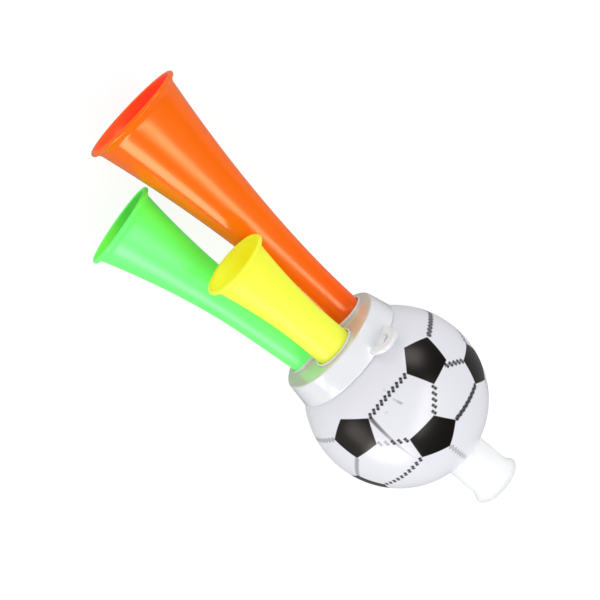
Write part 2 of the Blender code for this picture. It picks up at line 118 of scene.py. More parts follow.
# Floor
# A plain white sweep. Its own colour is a very pale grey that keeps the soft shadow of the horn,
# and most of what the lens sees of it is plain white light.
class Value:
    """Wraps a shader socket, so that maths on it adds the nodes."""

    tree = None

    def __init__(self, socket):
        self.socket = socket

    @classmethod
    def node(cls, kind, settings=None, out=0, **values):
        """Adds a node, sets its properties, then its sockets, and wraps one output."""
        made = cls.tree.nodes.new(kind)
        for key, setting in (settings or {}).items():
            setattr(made, key, setting)
        for key, value in values.items():
            socket = made.inputs[int(key[1:]) if key[0] == "_" else key.replace("_", " ")]
            if isinstance(value, Value):
                cls.tree.links.new(value.socket, socket)
            else:
                socket.default_value = value
        return cls(made.outputs[out])

    @classmethod
    def maths(cls, operation, *values):
        """Adds one Math node."""
        numbered = {f"_{i}": value for i, value in enumerate(values)}
        return cls.node("ShaderNodeMath", {"operation": operation}, **numbered)

    def __add__(self, other):
        return Value.maths("ADD", self, other)

    def __sub__(self, other):
        return Value.maths("SUBTRACT", self, other)

    def __rsub__(self, other):
        return Value.maths("SUBTRACT", other, self)

    def __mul__(self, other):
        return Value.maths("MULTIPLY", self, other)

    def __truediv__(self, other):
        return Value.maths("DIVIDE", self, other)

    __radd__ = __add__
    __rmul__ = __mul__

    def at_least(self, other):
        return Value.maths("MAXIMUM", self, other)

    def at_most(self, other):
        return Value.maths("MINIMUM", self, other)

    def size(self):
        return Value.maths("ABSOLUTE", self)

    def dot(self, direction):
        settings = {"operation": "DOT_PRODUCT"}
        return Value.node("ShaderNodeVectorMath", settings, out=1, _0=self, _1=direction)

    def fades(self, start, end):
        """1 below start and 0 above end, or the other way round."""
        return Value.node("ShaderNodeMapRange", _0=self, _1=start, _2=end, _3=1.0, _4=0.0)

    def mixed(self, low, high):
        """Colour between two colours, with self as the share of the second."""
        return Value.node("ShaderNodeMix", {"data_type": "RGBA"}, out=2, _0=self, _6=low, _7=high)


def new_material(name):
    """Starts a node material and returns it with its Principled shader."""
    material = bpy.data.materials.new(name)
    material.use_nodes = True
    Value.tree = material.node_tree
    return material, material.node_tree.nodes["Principled BSDF"]


def feed(shader, **sockets):
    """Sets or links sockets of the shader."""
    for key, value in sockets.items():
        socket = shader.inputs[key.replace("_", " ")]
        if isinstance(value, Value):
            Value.tree.links.new(value.socket, socket)
        else:
            socket.default_value = value


FLOOR_SIZE = 6.0
FLOOR_COLOUR = (0.93, 0.93, 0.935, 1.0)
FLOOR_WHITE_SHARE = 0.80
FLOOR_GLOW = 1.08
FLOOR_GLOSS = 0.30  # of the floor in the plastic's reflections

floor_mesh = bmesh.new()
bmesh.ops.create_grid(floor_mesh, x_segments=8, y_segments=8, size=FLOOR_SIZE / 2)
floor = bpy.data.objects.new("floor", bpy.data.meshes.new("floor"))
floor_mesh.to_mesh(floor.data)
floor_mesh.free()
bpy.context.scene.collection.objects.link(floor)
floor_finish, floor_shader = new_material("floor_white")
feed(floor_shader, Base_Color=FLOOR_COLOUR, Roughness=0.9)
seen = Value.node("ShaderNodeLightPath")
through = Value(seen.socket.node.outputs["Is Transmission Ray"])
mirrored = Value(seen.socket.node.outputs["Is Glossy Ray"])
share = seen.at_least(through) * FLOOR_WHITE_SHARE + mirrored
white = (1.0, 1.0, 1.0, 1.0)
glow = Value.node("ShaderNodeEmission", Color=white, Strength=FLOOR_GLOW)
dim_glow = Value.node("ShaderNodeEmission", Color=white, Strength=FLOOR_GLOSS)
either_glow = Value.node("ShaderNodeMixShader", _0=mirrored, _1=glow, _2=dim_glow)
floor_mix = Value.node(
    "ShaderNodeMixShader", _0=share, _1=Value(floor_shader.outputs[0]), _2=either_glow
)
floor_out = floor_finish.node_tree.nodes["Material Output"]
floor_finish.node_tree.links.new(floor_mix.socket, floor_out.inputs["Surface"])
floor.data.materials.append(floor_finish)

# Light
# Plain studio light: an even white room and soft boxes. Some of them light the plastic without
# being mirrored in it, and the others only draw the streaks and glares in its gloss.
ROOM_STRENGTH = 0.80
ROOM_GLOSS = 0.02  # of the same room in the plastic's reflections

room = bpy.data.worlds.new("room")
bpy.context.scene.world = room
room.use_nodes = True
Value.tree = room.node_tree
room_light = Value.node("ShaderNodeLightPath")
room_glossy = Value(room_light.socket.node.outputs["Is Glossy Ray"])
walls = Value.node("ShaderNodeBackground", Color=white, Strength=ROOM_STRENGTH)
dim_walls = Value.node("ShaderNodeBackground", Color=white, Strength=ROOM_GLOSS)
either_walls = Value.node("ShaderNodeMixShader", _0=room_glossy, _1=walls, _2=dim_walls)
room_out = room.node_tree.nodes["World Output"]
room.node_tree.links.new(either_walls.socket, room_out.inputs["Surface"])


def soft_box(name, place, width, height, watts, long_side, lights=True, shines=True):
    """Area light that faces the ball, with its width along long_side."""
    lamp = bpy.data.lights.new(name, "AREA")
    lamp.shape = "RECTANGLE"
    lamp.size = width
    lamp.size_y = height
    lamp.energy = watts
    box = bpy.data.objects.new(name, lamp)
    bpy.context.scene.collection.objects.link(box)
    away = (place - ball_centre).normalized()
    x = (long_side - away * away.dot(long_side)).normalized()
    turn = Matrix((x, away.cross(x), away)).transposed().to_4x4()
    box.matrix_world = Matrix.Translation(place) @ turn
    box.visible_diffuse = lights
    box.visible_glossy = shines


RIGHT = view_axes @ Vector((1, 0, 0))
UP_RIGHT = view_axes @ Vector((0.37, -0.83, 0.40))
STREAK_RISE = view_axes @ Vector((0.31, -0.94, -0.14))
soft_box("side_box", in_view(0.67, 0.08, -0.60), 1.00, 0.50, 2.2, UP_RIGHT, shines=False)
soft_box("side_streak", in_view(0.46, 0.21, -0.74), 1.00, 0.15, 2.8, STREAK_RISE, lights=False)
soft_box("low_box", in_view(-0.145, 0.79, -0.255), 0.70, 0.50, 1.75, RIGHT, shines=False)
soft_box("low_streak", in_view(-0.14, 0.86, -0.27), 0.60, 0.37, 4.5, RIGHT, lights=False)
soft_box("left_glare", in_view(-0.62, 0.56, -0.32), 0.36, 0.36, 0.9, RIGHT, lights=False)
soft_box("top_glare", in_view(0.25, -0.70, -0.51), 0.34, 0.34, 1.2, RIGHT, lights=False)
soft_box("front_box", in_view(-0.50, -0.80, -0.30), 0.50, 0.50, 1.6, RIGHT, shines=False)
soft_box("fill_box", in_view(-0.60, 0.10, -0.80), 0.60, 0.60, 0.75, RIGHT, shines=False)


# Trumpets
# Three thin flared tubes of glossy fluorescent polystyrene, each moulded in one piece with a
# turned-out lip. The pipe end is a push fit in its socket. Painted shade deepens the colour inside
# the bell and round the side that is turned from the light, the pipe end near the cap carries
# painted shade and a painted reflection of the cap, the bell's lower left inside holds a painted
# pool of light, and a painted glow stands in for the fluorescence.
SPIN_STEPS = 144
MERGE_DISTANCE = 1e-7
SHARP_ANGLE = math.radians(40)
PIPE_RADIUS = 0.0088
TRUMPET_WALL = 0.0012
FLARE_POWER = 1.8
FLARE_END_INSET = 0.0033  # of the flare's end, in the middle of the wall, from the bell's radius
LIP_SWEEP = math.radians(60.0)
RIM_RADIUS = 0.00105  # of the round bead in which the lip ends
SOCKET_DEPTH = 0.0100
FLARE_RINGS = 48
LIP_RINGS = 10
RIM_RINGS = 10
PIPE_END = (0.005, 0.050)  # heights between which the painted shade and reflection near the cap run out
PIPE_SHARE = 0.6  # of that painted colour at the pipe's end
FLOW_STRETCH = (90, 90, 9)  # of the flow lines' noise, which runs along the tube
FLOW_CONTRAST = 1.2
FLOW_SHADE = 0.90  # of the darkest flow lines
LIT_SIDE = view_axes @ Vector((-0.68, 0.73, 0))  # where a pool of light is painted inside the bells, and away from which shade is painted outside
LIT_REACH = (0.55, -0.25)  # of the painted pool of light, in shares of the bell's radius
FAR_SHADE_REACH = (0.95, 0.05)  # cosines round the outside, from the side turned from the light, of its painted shade
INSIDE_ROUGHNESS = 0.20  # more than outside

# Each trumpet's colours: its own colour outside; painted shade on the side turned from the light; painted shade
# and a painted reflection of the cap near the pipe end; painted shade inside the bell and a painted pool of light
# low in it; and painted glows, for the fluorescence, that lift the shade.
TRUMPETS = {
    "long": {
        "length": 0.1269,
        "bell_radius": 0.0243,
        "flare_length": 0.1110,
        "lip_length": 0.00415,
        "outside": (1.0, 0.155, 0.003),
        "shaded_side": (1.0, 0.145, 0.0),
        "pipe": (1.0, 0.075, 0.002),
        "inside": (1.0, 0.022, 0.0006),
        "lit_inside": (1.0, 0.080, 0.004),
        "glow": 0.04,
        "inside_glow": 0.16,
        "lit_glow": 0.17,
        "gloss": (1.0, 0.80, 0.42),
        "roughness": 0.16,
        "slot": "orange_plastic",
    },
    "middle": {
        "length": 0.0997,
        "bell_radius": 0.0196,
        "flare_length": 0.0670,
        "lip_length": 0.00408,
        "outside": (0.14, 0.93, 0.165),
        "shaded_side": (0.10, 0.97, 0.010),
        "pipe": (0.18, 0.93, 0.200),
        "inside": (0.065, 0.70, 0.028),
        "lit_inside": (0.17, 0.98, 0.060),
        "glow": 0.28,
        "inside_glow": 0.06,
        "lit_glow": 0.20,
        "gloss": (0.75, 1.0, 1.0),
        "roughness": 0.36,
        "slot": "green_plastic",
    },
    "short": {
        "length": 0.0574,
        "bell_radius": 0.0159,
        "flare_length": 0.0430,
        "lip_length": 0.00407,
        "outside": (0.95, 0.98, 0.046),
        "shaded_side": (0.93, 0.98, 0.030),
        "pipe": (0.88, 0.98, 0.075),
        "inside": (0.92, 0.80, 0.007),
        "lit_inside": (0.86, 0.98, 0.040),
        "glow": 0.05,
        "inside_glow": 0.10,
        "lit_glow": 0.20,
        "gloss": (1.0, 1.0, 0.50),
        "roughness": 0.44,
        "slot": "yellow_plastic",
    },
}


def spun(profile, steps=SPIN_STEPS, inside=None):
    """Spins a profile of (radius, height) points, with their shares of inside colour if given."""
    shape = bmesh.new()
    layer = shape.verts.layers.float.new("inside") if inside else None
    verts = [shape.verts.new((radius, 0, height)) for radius, height in profile]
    for vert, share in zip(verts, inside or []):
        vert[layer] = share
    edges = [shape.edges.new(pair) for pair in zip(verts, verts[1:])]
    bmesh.ops.spin(
        shape,
        geom=verts + edges,
        cent=(0, 0, 0),
        axis=(0, 0, 1),
        angle=math.tau,
        steps=steps,
        use_merge=True,
    )
    bmesh.ops.remove_doubles(shape, verts=shape.verts, dist=MERGE_DISTANCE)
    bmesh.ops.recalc_face_normals(shape, faces=shape.faces)
    return shape


def finished(name, shape, place, body, material, nodes):
    """Turns a bmesh into a piece at its place, with its finish and its ride."""
    shape.transform(place)
    for face in shape.faces:
        face.smooth = True
    mesh = bpy.data.meshes.new(name)
    shape.to_mesh(mesh)
    shape.free()
    mesh.set_sharp_from_angle(angle=SHARP_ANGLE)
    piece = bpy.data.objects.new(name, mesh)
    bpy.context.scene.collection.objects.link(piece)
    mesh.materials.append(material)
    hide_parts(*nodes)
    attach(piece, body)


def trumpet_middle(trumpet):
    """Middle line of the wall from pipe end to rim: (radius, height, lean, half thickness)."""
    half = TRUMPET_WALL / 2
    wall_radius = PIPE_RADIUS - half
    rise = trumpet["bell_radius"] - FLARE_END_INSET - wall_radius
    lean = math.atan(FLARE_POWER * rise / trumpet["flare_length"])
    lip_start = trumpet["length"] - trumpet["lip_length"]
    lip_reach = FLARE_END_INSET - RIM_RADIUS
    lip_radius = lip_reach / (math.cos(lean) - math.cos(LIP_SWEEP))
    points = [(wall_radius, -SOCKET_DEPTH, 0.0, half)]
    for i in range(FLARE_RINGS + 1):
        share = i / FLARE_RINGS
        slope = FLARE_POWER * rise * share ** (FLARE_POWER - 1) / trumpet["flare_length"]
        height = lip_start - trumpet["flare_length"] * (1 - share)
        points.append((wall_radius + rise * share**FLARE_POWER, height, math.atan(slope), half))
    start = points[-1][0]
    for i in range(1, LIP_RINGS + 1):
        share = i / LIP_RINGS
        angle = lean + (LIP_SWEEP - lean) * share
        radius = start + lip_radius * (math.cos(lean) - math.cos(angle))
        height = lip_start + lip_radius * (math.sin(angle) - math.sin(lean))
        points.append((radius, height, angle, half + (RIM_RADIUS - half) * share**2))
    return points


def trumpet_outline(trumpet):
    """Closed section of the wall, up the outside and down the inside, and its inside shares."""
    middle = trumpet_middle(trumpet)
    outer = [(r + t * math.cos(a), h - t * math.sin(a)) for r, h, a, t in middle]
    inner = [(r - t * math.cos(a), h + t * math.sin(a)) for r, h, a, t in middle]
    radius, height, lean, half = middle[-1]
    rim = []
    for i in range(1, RIM_RINGS):
        turn = math.pi * i / RIM_RINGS - lean
        rim.append((radius + half * math.cos(turn), height + half * math.sin(turn)))
    shares = [0.0] * (len(outer) + len(rim)) + [0.0, 0.5] + [1.0] * (len(inner) - 2) + [0.0]
    return [*outer, *rim, *inner[::-1], outer[0]], shares


def rest_place():
    """Place on a piece in the scene's axes, as it lies before any pose."""
    return Value.node("ShaderNodeTexCoord", out=3)


def in_frame(place, matrix):
    """The same place in the axes of a matrix."""
    inverse = matrix.inverted()
    return Value.node(
        "ShaderNodeMapping", _0=place, Location=inverse.translation, Rotation=inverse.to_euler()
    )


def noise(place, scale, detail):
    """Soft noise from 0 to 1 over a place."""
    return Value.node("ShaderNodeTexNoise", Vector=place, Scale=scale, Detail=detail)


def trumpet_finish(name, trumpet, place):
    """Glossy plastic with faint flow lines of the moulding, and painted shade, light, reflection and glow in its
    colour.
    """
    material, shader = new_material(f"{name}_trumpet_gloss")
    here = rest_place()
    local = in_frame(here, place)
    height = local.dot((0, 0, 1))
    inside = Value.node("ShaderNodeAttribute", {"attribute_name": "inside"}, out=2)
    stretched = Value.node(
        "ShaderNodeVectorMath", {"operation": "MULTIPLY"}, _0=local, _1=FLOW_STRETCH
    )
    streaks = noise(stretched, 1.0, 3.0)
    ripple = noise(local, 160.0, 2.0)
    deep = [c * FLOW_SHADE for c in trumpet["outside"]]
    flow = (streaks - 0.5) * FLOW_CONTRAST + 0.5
    wall = flow.mixed((*deep, 1.0), (*trumpet["outside"], 1.0))
    flat = Value.node("ShaderNodeVectorMath", {"operation": "MULTIPLY"}, _0=local, _1=(1, 1, 0))
    outward = Value.node("ShaderNodeVectorMath", {"operation": "NORMALIZE"}, _0=flat)
    # Painted shade on the side of the tube that is turned from the light.
    away = -(place.to_3x3().inverted() @ LIT_SIDE)
    away.z = 0.0
    far = outward.dot(away.normalized()).fades(*FAR_SHADE_REACH)
    wall = far.mixed(wall, (*trumpet["shaded_side"], 1.0))
    # Near the cap, painted shade of the neighbouring tubes and a painted reflection of the white cap.
    wall = (height.fades(*PIPE_END) * PIPE_SHARE).mixed(wall, (*trumpet["pipe"], 1.0))
    # A painted pool of light on the lower left inside each bell.
    mouth = place @ Vector((0, 0, trumpet["length"]))
    off_mouth = (here.dot(LIT_SIDE) - mouth.dot(LIT_SIDE)) / trumpet["bell_radius"]
    lit = off_mouth.fades(*LIT_REACH)
    bell = lit.mixed((*trumpet["inside"], 1.0), (*trumpet["lit_inside"], 1.0))
    # The bell's deeper inside colour is painted shade.
    colour = inside.mixed(wall, bell)
    # Painted glow: it stands in for the fluorescent dye and lifts the shade, and inside the bell it is stronger
    # where the pool of light is painted.
    glow = [c * trumpet["glow"] for c in trumpet["outside"]]
    deep_glow = [c * trumpet["inside_glow"] for c in trumpet["inside"]]
    lit_glow = [c * trumpet["lit_glow"] for c in trumpet["lit_inside"]]
    bell_glow = lit.mixed((*deep_glow, 1.0), (*lit_glow, 1.0))
    bump = Value.node(
        "ShaderNodeBump", Strength=0.25, Distance=0.0002, Height=streaks * 0.7 + ripple * 0.3
    )
    feed(
        shader,
        Base_Color=colour,
        Roughness=ripple * 0.06 + inside * INSIDE_ROUGHNESS + trumpet["roughness"],
        Normal=bump,
        Specular_IOR_Level=0.75,
        Specular_Tint=(*trumpet["gloss"], 1.0),
        Emission_Color=inside.mixed((*glow, 1.0), bell_glow),
        Emission_Strength=1.0,
        IOR=1.5,
    )
    return material


for name, trumpet in TRUMPETS.items():
    place = socket_place(name)
    outline, shares = trumpet_outline(trumpet)
    finished(
        f"{name}_horn_tube",
        spun(outline, inside=shares),
        place,
        f"{name}_trumpet",
        trumpet_finish(name, trumpet, place),
        [f"{name}_trumpet"],
    )


# Ball
# Two half shells of white polystyrene, welded along a plane through the axis, with the pattern
# of a football printed on them in black: two rows of five pentagons, joined by slanted stitches.
BALL_RADIUS = 0.0400
BALL_HALF_LENGTH = 0.0412
BALL_WALL = 0.0014
BALL_RINGS = 96
BALL_STEPS = 192
NECK_OUTER = 0.0256
NECK_INNER = 0.0244
NECK_TOP = 0.035657
MOUTH_RADIUS = 0.0105
MOUTH_HOLE = 0.0090
COLLAR_RADIUS = 0.0102
COLLAR_LENGTH = 0.0062
SEAM_AZIMUTH = math.radians(72.8)
WELD_GAP = 0.00001
# A painted shadow of the small step where the halves meet darkens a band beside the weld.
WELD_SHADE = (0.10, 0.08, 0.078)
WELD_SHADE_ASIDE = 0.0002  # of its middle from the weld
WELD_SHADE_WIDTH = 0.0005  # half of it, at its thin end
WELD_SHADE_GAIN = 0.0007  # of that width towards the cap
WELD_SHADE_SOFT = (0.45, 1.1)  # shares of its width between which it fades to its sides
WELD_TAPER = (0.42, -0.15)  # sines of the latitudes between which it narrows
WELD_TOP = (0.38, 0.42)  # between which it starts
WELD_FADE = (0.40, -0.30)  # between which it fades out
BALL_WHITE = (0.78, 0.78, 0.84)
HAZE_SHADES = (0.975, 0.995)  # of the white
PRINT_BLACK = (0.004, 0.0038, 0.0035)
PRINT_GREY = (0.010, 0.0085, 0.008)
PRINT_OVERLAP = 0.02  # past the weld, as a sine, within which a mark is drawn on both halves
PENTAGON_RADIUS = math.radians(15.2)
PENTAGON_EDGE = 0.0040  # softness of the print's edge, as a sine
STITCH_PITCH = 0.00255
STITCH_LENGTH = 0.0026
STITCH_WIDTH = 0.00135
STITCH_SOFT = 0.00022
STITCH_HOLLOW = 0.16  # by which a stitch is lighter in its middle
HOLLOW_REACH = (0.15, 0.6)  # in shares of half a stitch
STITCH_SLANTS = {"top": 52.0, "down": -57.0, "up": 58.0, "bottom": 55.0, "tail": 58.0}
TAIL_LATITUDE = -58.0
LINE_WIDTH = 0.0013
LINE_SOFT = (0.3, 0.7)  # shares of a line's width between which it fades out
SEAM_REACH = 0.5  # cosine of the angle from a seam's middle that holds all of it
PALE_REACH = 0.0032  # of the place where the print came out pale
PALE_STRENGTH = 0.8
PALE_LIMIT = 0.55


def ball_arc(start_radius, end_radius, outset):
    """Points down the ball's outline, from a radius above its middle to one below it."""
    across = BALL_RADIUS + outset
    along = BALL_HALF_LENGTH + outset
    start = math.acos(start_radius / across)
    end = -math.acos(end_radius / across)
    angles = [start + (end - start) * i / BALL_RINGS for i in range(BALL_RINGS + 1)]
    return [(across * math.cos(a), along * math.sin(a)) for a in angles]


def on_ball(azimuth, latitude):
    """Direction from the ball's centre, from two angles in degrees in the horn's own axes."""
    a, b = math.radians(azimuth), math.radians(latitude)
    return Vector((math.cos(b) * math.cos(a), math.cos(b) * math.sin(a), math.sin(b)))


def even_pentagon(azimuth, latitude, turn):
    """Corners of a regular pentagon, anticlockwise from the top one or the one left of it."""
    middle = on_ball(azimuth, latitude)
    east = Vector((0, 0, 1)).cross(middle).normalized()
    north = middle.cross(east)
    corners = []
    for i in range(5):
        angle = math.radians(90 + turn + 72 * i)
        aside = math.cos(angle) * east + math.sin(angle) * north
        corners.append((middle + math.tan(PENTAGON_RADIUS) * aside).normalized())
    return corners


def corners_at(*places):
    """Corners of a pentagon, from their azimuths and latitudes in degrees."""
    return [on_ball(*place) for place in places]


# Corners from the top one on, anticlockwise: N, W, SW, SE and E above, NW, W, S, E and NE below.
upper_row = [
    corners_at((53.1, 33.9), (37.3, 24.3), (44.4, 7.8), (64.0, 9.0), (72.1, 24.3)),
    corners_at((127.4, 34.3), (111.3, 24.9), (116.2, 7.7), (135.3, 7.8), (144.3, 24.0)),
    *(even_pentagon(azimuth, 18.2, 0) for azimuth in (198.8, 270.8, 342.8)),
]
lower_row = [
    corners_at((80.7, -2.4), (76.2, -18.0), (93.4, -28.2), (108.6, -18.3), (101.3, -3.6)),
    corners_at((144.4, -3.5), (138.4, -18.9), (155.1, -28.8), (175.0, -19.0), (163.7, -4.2)),
    *(even_pentagon(*c) for c in ((228.8, -15.0, 36), (304.4, -15.0, 36), (19.6, -19.0, 40.7))),
]
# A seam is its two ends, how dark its stitches are, and how dark and wide a line joins them.
seams = {}
for k in range(5):
    above, next_above = upper_row[k], upper_row[(k + 1) % 5]
    below, next_below = lower_row[k], lower_row[(k + 1) % 5]
    azimuth = math.degrees(math.atan2(below[2].y, below[2].x))
    seams["top", k] = [above[4], next_above[1], 1.0, 0.0, LINE_WIDTH]
    seams["down", k] = [above[3], below[0], 1.0, 0.0, LINE_WIDTH]
    seams["up", k] = [next_above[2], below[4], 1.0, 0.0, LINE_WIDTH]
    seams["bottom", k] = [below[3], next_below[1], 1.0, 0.0, LINE_WIDTH]
    seams["tail", k] = [below[2], on_ball(azimuth, TAIL_LATITUDE), 0.42, 0.34, LINE_WIDTH]
# Where the print ran together, the line is dark, and two seams start beside their corners.
seams["top", 1] = [on_ball(145.2, 23.3), on_ball(183.2, 20.6), 1.0, 0.80, 0.0018]
seams["top", 4][2:] = 0.55, 0.35, LINE_WIDTH
seams["up", 4][2:] = 0.10, 0.52, 0.0018
seams["down", 1] = [on_ball(130.6, 7.4), lower_row[1][0], 1.0, 0.62, LINE_WIDTH]
seams["bottom", 0][2:] = 1.0, 0.92, 0.0020
seams["bottom", 1][2:] = 1.0, 0.75, LINE_WIDTH
pale_place = on_ball(67.3, 6.7)
# Smears have two ends, a width and a strength; specks a centre, a radius and a strength.
smears = (
    (on_ball(92.7, 22.4), on_ball(94.3, 16.1), 0.0009, 0.24),
    (on_ball(93.4, 19.5), on_ball(94.3, 16.1), 0.0011, 0.38),
)
specks = ((on_ball(93.4, 29.6), 0.0009, 0.16), (on_ball(83.5, 19.5), 0.0007, 0.20))


def pentagon_ink(place, corners):
    """1 inside a pentagon, from the planes through its edges and the ball's centre."""
    inside = None
    for start, end in zip(corners, corners[1:] + corners[:1]):
        from_edge = place.dot(start.cross(end).normalized())
        inside = from_edge if inside is None else inside.at_most(from_edge)
    return inside.fades(PENTAGON_EDGE, -PENTAGON_EDGE)


def along_seam(place, start, end):
    """Distances along and across a seam, its length, and 1 between its ends."""
    middle = (start + end).normalized()
    aside = start.cross(end).normalized()
    along = place.dot(aside.cross(middle) * BALL_RADIUS)
    across = place.dot(aside * BALL_RADIUS)
    length = (end - start).length * BALL_RADIUS
    near = Value.maths("GREATER_THAN", place.dot(middle), SEAM_REACH)
    near = near * Value.maths("LESS_THAN", along.size(), length / 2)
    return along, across, length, near


def seam_ink(place, slant, start, end, stitches, line, width):
    """Ink of a seam: short slanted bars, a little lighter in their middle, and its line."""
    along, across, length, near = along_seam(place, start, end)
    count = round(length / STITCH_PITCH)
    pitch = length / count
    step = (Value.maths("FRACT", along / pitch + count / 2) - 0.5) * pitch
    up_bar = step * math.cos(slant) + across * math.sin(slant)
    off_bar = across * math.cos(slant) - step * math.sin(slant)
    half_width, half_length = STITCH_WIDTH / 2, STITCH_LENGTH / 2
    bar = off_bar.size().fades(half_width - STITCH_SOFT, half_width + STITCH_SOFT)
    ends = up_bar.size().fades(half_length - STITCH_SOFT, half_length + STITCH_SOFT)
    pale = up_bar.size().fades(*(half_length * share for share in HOLLOW_REACH))
    ink = bar * ends * (1.0 - pale * STITCH_HOLLOW) * stitches
    if line:
        ink = ink.at_least(across.size().fades(*(width * share for share in LINE_SOFT)) * line)
    return ink * near


def line_ink(place, start, end, width, strength):
    """Soft line between two places on the ball."""
    _, across, _, near = along_seam(place, start, end)
    return across.size().fades(*(width * share for share in LINE_SOFT)) * near * strength


def spot_ink(place, centre, radius, strength):
    """Soft spot: 1 in its middle and 0 from the radius on."""
    return (1.0 - place.dot(centre)).fades(0.0, (radius / BALL_RADIUS) ** 2 / 2) * strength


def ball_finish(name, side):
    """White plastic with the part of the print that lies on one side of the weld."""
    material, shader = new_material(f"ball_print_{name}")
    local = in_frame(rest_place(), horn_place)
    place = Value.node("ShaderNodeVectorMath", {"operation": "NORMALIZE"}, _0=local)
    weld_normal = Vector((-math.sin(SEAM_AZIMUTH), math.cos(SEAM_AZIMUTH), 0)) * side

    def on_this_side(points):
        return any(point.dot(weld_normal) > -PRINT_OVERLAP for point in points)

    ink = None
    for (kind, _), seam in seams.items():
        if on_this_side(seam[:2]):
            mark = seam_ink(place, math.radians(STITCH_SLANTS[kind]), *seam)
            ink = mark if ink is None else ink.at_least(mark)
    pale = spot_ink(place, pale_place, PALE_REACH, PALE_STRENGTH).at_most(PALE_LIMIT)
    ink = ink * (1.0 - pale)
    for corners in filter(on_this_side, upper_row + lower_row):
        ink = ink.at_least(pentagon_ink(place, corners))
    for smear in smears:
        if on_this_side(smear[:2]):
            ink = ink.at_least(line_ink(place, *smear))
    for speck in specks:
        if on_this_side(speck[:1]):
            ink = ink.at_least(spot_ink(place, *speck))
    height = place.dot((0, 0, 1))
    # The painted shadow beside the weld: patchy, narrower away from the cap, and faded out low down.
    off_weld = (place.dot(weld_normal) * (BALL_RADIUS * side) - WELD_SHADE_ASIDE).size()
    weld_width = height.fades(*WELD_TAPER) * WELD_SHADE_GAIN + WELD_SHADE_WIDTH
    weld = (off_weld / weld_width).fades(*WELD_SHADE_SOFT) * height.fades(*WELD_TOP)
    weld_shade_noise = noise(local, 120.0, 3.0)
    weld = weld * height.fades(*WELD_FADE) * (weld_shade_noise * 0.4 + 0.75)
    scuffs = noise(local, 55.0, 4.0)
    haze = noise(local, 22.0, 2.0)
    shades = [[v * share for v in BALL_WHITE] for share in HAZE_SHADES]
    white = haze.mixed((*shades[0], 1.0), (*shades[1], 1.0))
    white = weld.mixed(white, (*WELD_SHADE, 1.0))
    black = haze.mixed((*PRINT_BLACK, 1.0), (*PRINT_GREY, 1.0))
    colour = ink.mixed(white, black)
    bump = Value.node("ShaderNodeBump", Strength=0.10, Distance=0.0003, Height=scuffs)
    feed(
        shader,
        Base_Color=colour,
        Roughness=0.28 + scuffs * 0.03,
        Normal=bump,
        Specular_Tint=(1.0, 0.90, 0.86, 1.0),
        IOR=1.5,
    )
    return material


mouth_seat = -BALL_HALF_LENGTH * math.sqrt(1 - (MOUTH_RADIUS / BALL_RADIUS) ** 2)
shell_outline = [
    (NECK_INNER, NECK_TOP),
    (NECK_OUTER, NECK_TOP),
    *ball_arc(NECK_OUTER, MOUTH_RADIUS, 0.0),
    (MOUTH_HOLE, mouth_seat),
    (MOUTH_HOLE, mouth_seat + COLLAR_LENGTH),
    (COLLAR_RADIUS, mouth_seat + COLLAR_LENGTH),
    *ball_arc(NECK_INNER, COLLAR_RADIUS, -BALL_WALL)[::-1],
    (NECK_INNER, NECK_TOP),
]
for name, side in (("left", 1), ("right", -1)):
    shape = spun(shell_outline, BALL_STEPS)
    turned = Matrix.Rotation(SEAM_AZIMUTH, 4, "Z")
    shape.transform(turned.inverted())
    cut = bmesh.ops.bisect_plane(
        shape,
        geom=[*shape.verts, *shape.edges, *shape.faces],
        plane_co=(0, side * WELD_GAP / 2, 0),
        plane_no=(0, side, 0),
        clear_inner=True,
    )
    rims = [e for e in cut["geom_cut"] if isinstance(e, bmesh.types.BMEdge)]
    bmesh.ops.holes_fill(shape, edges=rims, sides=0)
    bmesh.ops.recalc_face_normals(shape, faces=shape.faces)
    shape.transform(turned)
    finished(
        f"ball_half_{name}",
        shape,
        horn_place,
        "air_chamber",
        ball_finish(name, side),
        [f"ball_shell_{name}"],
    )

# Cap
# One moulding of glossy white plastic, snapped over the ball's neck: a tapering skirt, a flat
# front, three leaning sockets with thin round lips, and the ring for a lanyard on its edge.
FIT_GAP = 0.0003
CAP_PLATE = 0.0016
CAP_FRONT_RADIUS = 0.0264
CAP_BACK_RADIUS = 0.0284
CAP_INNER_RADIUS = 0.0259
CAP_ROUNDING = 0.0010
CAP_BACK_ROUNDING = 0.0005
CAP_STRIP = 0.0006  # of flat face beside the rounded edge, so that the face shades flat
FACE_SKIN = 0.0001  # to each side of the face that has its full painted shade
FACE_BELOW = 0.0006  # where its painted shade has run out below the face
FACE_ABOVE = 0.0004  # and above it
# Painted shade on the cap's flat face, which the lamps hardly reach.
FACE_SHADE = (0.66, 0.65, 0.59)
SOCKET_BORE = 0.0091
SOCKET_RADIUS = 0.0102
SOCKET_LIP_ROUNDING = 0.00045
SOCKET_STOP = 0.0118  # depth of the ledge below the lip
SOCKET_FLOOR = 0.0012
SOCKET_FLOOR_HOLE = 0.0060
SOCKET_STEPS = 96
EAR_AZIMUTH = math.radians(124.0)
EAR_LEAN = math.radians(12.0)
EAR_STAND_OFF = 0.0010
EAR_RISE = 0.0020
EAR_HOLE = 0.0034
EAR_RADIUS = 0.0073
EAR_THICKNESS = 0.0024
EAR_ROUNDING = 0.0008
EAR_REACH = math.radians(122.0)  # each way from the ring's outermost point
EAR_STEPS = 64
ROUNDING_STEPS = 6
PLANE_TOLERANCE = 1e-6

cap_finish, cap_shader = new_material("cap_white")
cap_here = rest_place()
cap_grain = noise(cap_here, 70.0, 3.0)
cap_bump = Value.node("ShaderNodeBump", Strength=0.10, Distance=0.0003, Height=cap_grain)
cap_height = cap_here.dot(horn_axis) - ball_centre.dot(horn_axis)
